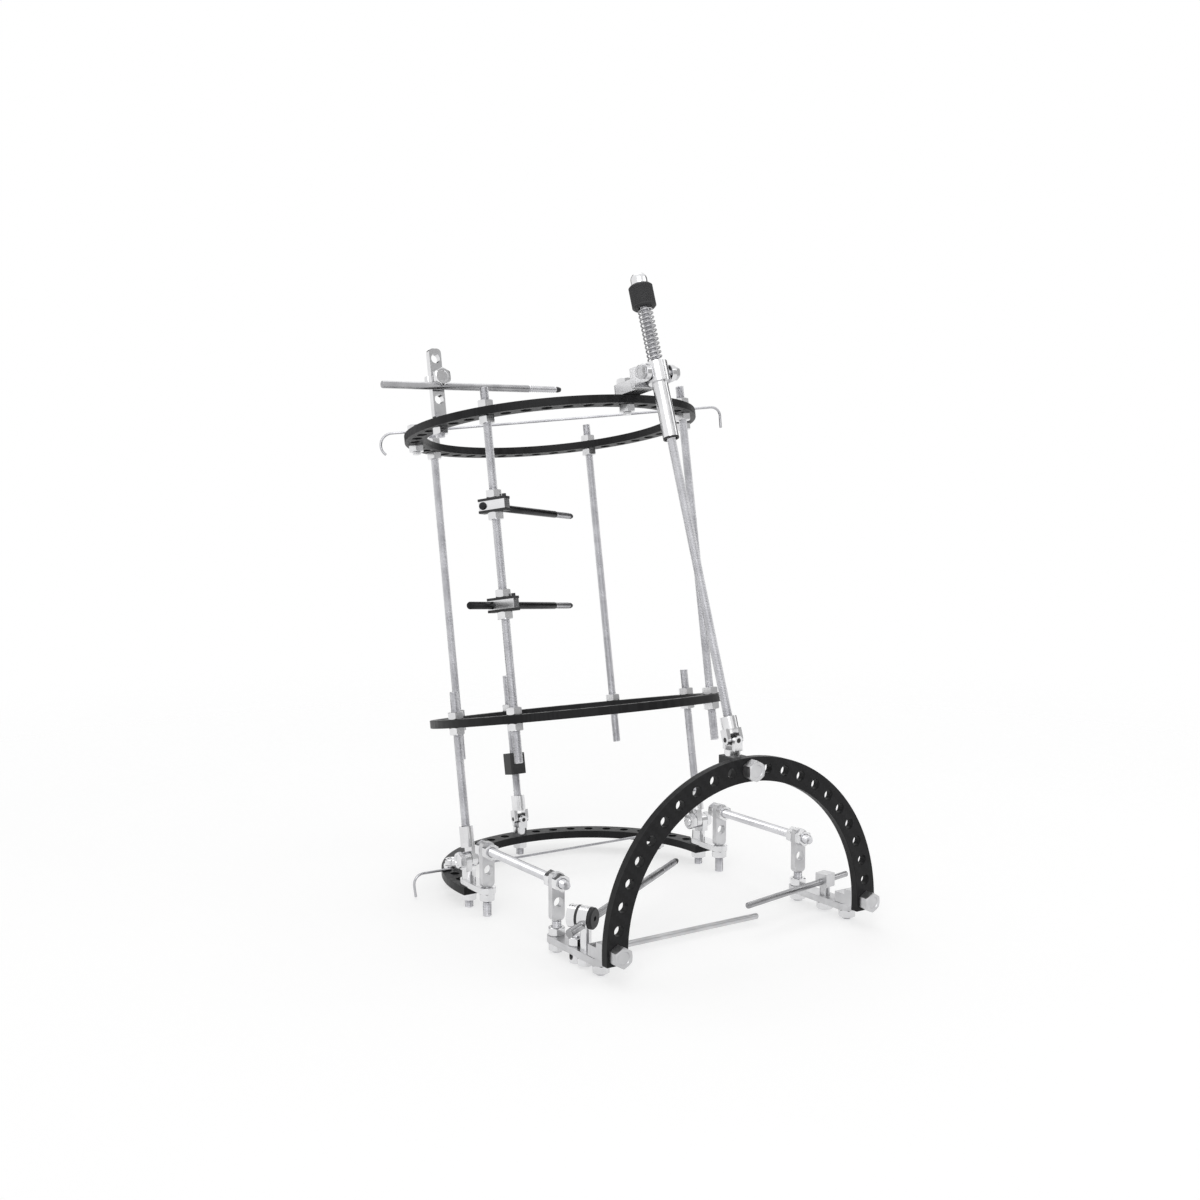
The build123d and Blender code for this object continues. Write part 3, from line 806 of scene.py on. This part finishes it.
reach, along = about(whole("spring_knob"), rod_low, rod_axis)
shape = knurled(float(reach.max()), float(along.max() - along.min()), float(reach.min()), KNOB_EDGE)
shape = moved(shape, place(rod_low + rod_axis * float(along.min()), rod_axis))
stands_for(finished("spring_knob_knurled", shape, black, KNURL_SMOOTH), "spring_knob")

points, corners = solids("foot_clamp_cap")[0]
cap_axis = flat_axis(points, corners)
cap_middle = box_middle(points)
reach, along = about(points, cap_middle, cap_axis)
cap_half = float(along.max() - along.min()) / 2
shape = knurled(float(reach.max()), 2 * cap_half, CAP_BORE, CAP_EDGE)
shape = moved(shape, place(Vector(cap_middle - cap_axis * cap_half), cap_axis))
stands_for(finished("foot_clamp_cap_knurled", shape, black, KNURL_SMOOTH), "foot_clamp_cap")


# Posts, joints and clamps that end in a threaded stud

def studded(node, axis, material, dark=None):
    """A node whose plain studs, pointing along axis and starting level, are swapped for threaded ones."""
    axis = np.array(axis, float)
    shapes = []
    for points, _ in solids(node):
        along = points @ axis
        rim = points[along > along.max() - SAME]
        centre = box_middle(rim)
        reach, _ = about(points, centre, axis)
        r = float(np.linalg.norm(rim - centre, axis=1).max())
        length = float(along.max() - along[np.abs(reach - r) > APART].max())
        start = Vector(centre - axis * length)
        shapes.append(moved(thread(length, r, ROD_DEPTH, ROD_PITCH), place(start, axis)))
    stands_for(finished(node + "_studs", joined(shapes), rod_steel, THREAD_SMOOTH), node)
    eased(node, material, FINE_EDGE, cut=(start, Vector(axis)), dark=dark)


for node in ("rear_posts", "front_posts", "foot_clamp_right"):
    studded(node, DOWN, satin)
for node in ("lower_hinges", "rear_joint_base"):
    studded(node, DOWN, polished)
inward = Vector(cap_axis if cap_axis[1] > 0 else -cap_axis)
# The black band round the left foot clamp's barrel is painted shade: the barrel has no groove there
studded("foot_clamp_left", DOWN, polished,
        dark=(Vector(cap_middle) + inward * (cap_half + PAINTED_SHADE_BAND_AT), inward, PAINTED_SHADE_BAND_WIDE))
studded("proximal_post", DOWN_THE_LEG, polished)
studded("foot_pin_bolt", UP, polished)


# Solids kept as they are, with eased edges

# The liners between the pin clamps' jaws are black to stand in for the shade in the clamps' gaps: painted
# shade
for node, material in (
    ("proximal_ring", ring_carbon), ("distal_ring", ring_carbon),
    ("heel_ring", heel_carbon), ("forefoot_arch", arch_carbon), ("distraction_nut", black),
    ("pin_clamp_liners", black), ("rear_joint_cross", black), ("front_joint_cross", black),
):
    eased(node, material)
for node in ("front_plate_left", "front_plate_right", "toe_blocks"):
    eased(node, satin, FINE_EDGE)
for node in (
    "upper_hinges", "side_plates", "rear_joint_fork", "front_joint_fork", "front_bracket",
    "pin_clamp_upper", "pin_clamp_lower", "swivel_block", "rod_cap", "proximal_wire_washers",
    "heel_wire_washers",
):
    eased(node, polished, FINE_EDGE)
reach, along = about(whole("spring_sleeve"), rod_low, rod_axis)
rim = rod_low + rod_axis * (float(along.min()) + SLEEVE_RIM)
eased("spring_sleeve", polished, FINE_EDGE, dark=(rim, -rod_axis, TO_THE_END))
box_top = max(point[2] for point in frame["nodes"]["front_joint_base"].bound_box) - FORK_HEIGHT
eased("front_joint_base", polished, FINE_EDGE,
      dark=(Vector((0, 0, box_top)), Vector(DOWN), TO_THE_END))
for node in ("proximal_wire", "heel_wire"):
    eased(node, wire_steel, WIRE_EDGE)


# Floor, light and camera

def seen(tree):
    """One for rays from the camera, off metal or through glass, and nought for light on the part."""
    path = tree.nodes.new("ShaderNodeLightPath")
    total = path.outputs["Is Camera Ray"]
    for name in ("Is Glossy Ray", "Is Transmission Ray"):
        either = tree.nodes.new("ShaderNodeMath")
        either.operation = "MAXIMUM"
        tree.links.new(total, either.inputs[0])
        tree.links.new(path.outputs[name], either.inputs[1])
        total = either.outputs[0]
    return total


def floor_white():
    """A pale floor that shows white and clears away far from the part."""
    m = Nodes("floor_white")
    tone = m.ramp(m.noise(scale=3.0), (0.46, 0.46, 0.46), (0.48, 0.48, 0.48))
    m.link(tone, m.shader.inputs["Base Color"])
    m.shader.inputs["Roughness"].default_value = 0.9
    m.shader.inputs["Specular IOR Level"].default_value = 0.1
    m.shader.inputs["Emission Color"].default_value = (1, 1, 1, 1)
    m.link(m.spread(seen(m.tree), 0.0, FLOOR_GLOW), m.shader.inputs["Emission Strength"])
    fade = m.add("ShaderNodeMapRange", interpolation_type="SMOOTHSTEP")
    fade.inputs["From Min"].default_value = FADE_START
    fade.inputs["From Max"].default_value = FADE_END
    across = m.math("POWER", m.along((1, 0, 0)), 2.0)
    deep = m.math("POWER", m.along((0, 1, 0)), 2.0)
    m.link(m.math("SQRT", m.math("ADD", across, deep)), fade.inputs["Value"])
    mix = m.add("ShaderNodeMixShader")
    clear = m.add("ShaderNodeBsdfTransparent")
    m.link(fade.outputs["Result"], mix.inputs["Fac"])
    m.link(m.shader.outputs["BSDF"], mix.inputs[1])
    m.link(clear.outputs["BSDF"], mix.inputs[2])
    m.link(mix.outputs["Shader"], m.tree.nodes["Material Output"].inputs["Surface"])
    return m.material


def studio_floor():
    half = FLOOR_HALF
    mesh = bpy.data.meshes.new("floor")
    corners = [(-half, -half, 0), (half, -half, 0), (half, half, 0), (-half, half, 0)]
    mesh.from_pydata(corners, [], [(0, 1, 2, 3)])
    mesh.materials.append(floor_white())
    floor = bpy.data.objects.new("floor", mesh)
    bpy.context.scene.collection.objects.link(floor)
    floor.location = (0, FLOOR_BACK, cad_box[0][2] - FLOOR_DROP)


def flag_paint(name, dark, light):
    """A matt grey between two levels."""
    m = Nodes(name)
    tone = m.ramp(m.noise(scale=4.0), (dark, dark, dark), (light, light, light))
    m.link(tone, m.shader.inputs["Base Color"])
    m.shader.inputs["Roughness"].default_value = 1.0
    m.shader.inputs["Specular IOR Level"].default_value = 0.0
    return m.material


def flag(name, start, stop, paint):
    """A curved card that only the metal mirrors, between two bearings in degrees from the camera's."""
    low = []
    high = []
    for i in range(FLAG_STEPS + 1):
        turn = VIEW_TURN + math.radians(start + (stop - start) * i / FLAG_STEPS)
        x = FLAG_RADIUS * math.sin(turn)
        y = -FLAG_RADIUS * math.cos(turn)
        low.append((x, y, FLAG_LOW))
        high.append((x, y, FLAG_HIGH))
    above = FLAG_STEPS + 1
    faces = [(i, i + 1, i + 1 + above, i + above) for i in range(FLAG_STEPS)]
    mesh = bpy.data.meshes.new(name)
    mesh.from_pydata(low + high, [], faces)
    mesh.materials.append(paint)
    card = bpy.data.objects.new(name, mesh)
    bpy.context.scene.collection.objects.link(card)
    card.visible_camera = False
    card.visible_diffuse = False
    card.visible_shadow = False


def world():
    """White where it is seen, and softer as light."""
    scene = bpy.context.scene
    scene.world = bpy.data.worlds.new("studio")
    scene.world.use_nodes = True
    tree = scene.world.node_tree
    background = tree.nodes["Background"]
    background.inputs["Color"].default_value = (1, 1, 1, 1)
    strength = tree.nodes.new("ShaderNodeMapRange")
    strength.inputs["To Min"].default_value = WORLD_LIGHT
    strength.inputs["To Max"].default_value = WORLD_SEEN
    tree.links.new(seen(tree), strength.inputs["Value"])
    tree.links.new(strength.outputs["Result"], background.inputs["Strength"])


def softbox(name, spot, target, size, power):
    light = bpy.data.lights.new(name, "AREA")
    light.shape = "SQUARE"
    light.size = size
    light.energy = power
    obj = bpy.data.objects.new(name, light)
    obj.location = spot
    obj.rotation_euler = (Vector(target) - Vector(spot)).to_track_quat("-Z", "Y").to_euler()
    bpy.context.scene.collection.objects.link(obj)


def camera():
    data = bpy.data.cameras.new("camera")
    data.lens = LENS
    data.sensor_width = SENSOR
    data.sensor_fit = "HORIZONTAL"
    data.clip_start = NEAREST
    obj = bpy.data.objects.new("camera", data)
    bpy.context.scene.collection.objects.link(obj)
    level = math.cos(VIEW_RISE)
    back = Vector((math.sin(VIEW_TURN) * level, -math.cos(VIEW_TURN) * level, math.sin(VIEW_RISE)))
    obj.location = EYE
    obj.rotation_euler = (-back).to_track_quat("-Z", "Y").to_euler()
    bpy.context.scene.camera = obj


studio_floor()
grey_paint = flag_paint("flag_grey", dark=0.12, light=0.16)
pale_paint = flag_paint("flag_pale", dark=0.66, light=0.72)
flag("flag_front", 50, 95, pale_paint)
flag("flag_right", 118, 150, grey_paint)
flag("flag_left", -158, -135, grey_paint)
world()
middle = (Vector(cad_box[0]) + Vector(cad_box[1])) / 2
softbox("key", (-1.4, -1.6, 1.9), middle, size=1.6, power=18)
softbox("fill", (1.5, -1.2, 1.2), middle, size=1.4, power=6)
softbox("top", (0.2, 0.9, 2.2), middle, size=1.6, power=10)
camera()
bpy.context.scene.view_settings.view_transform = "Standard"
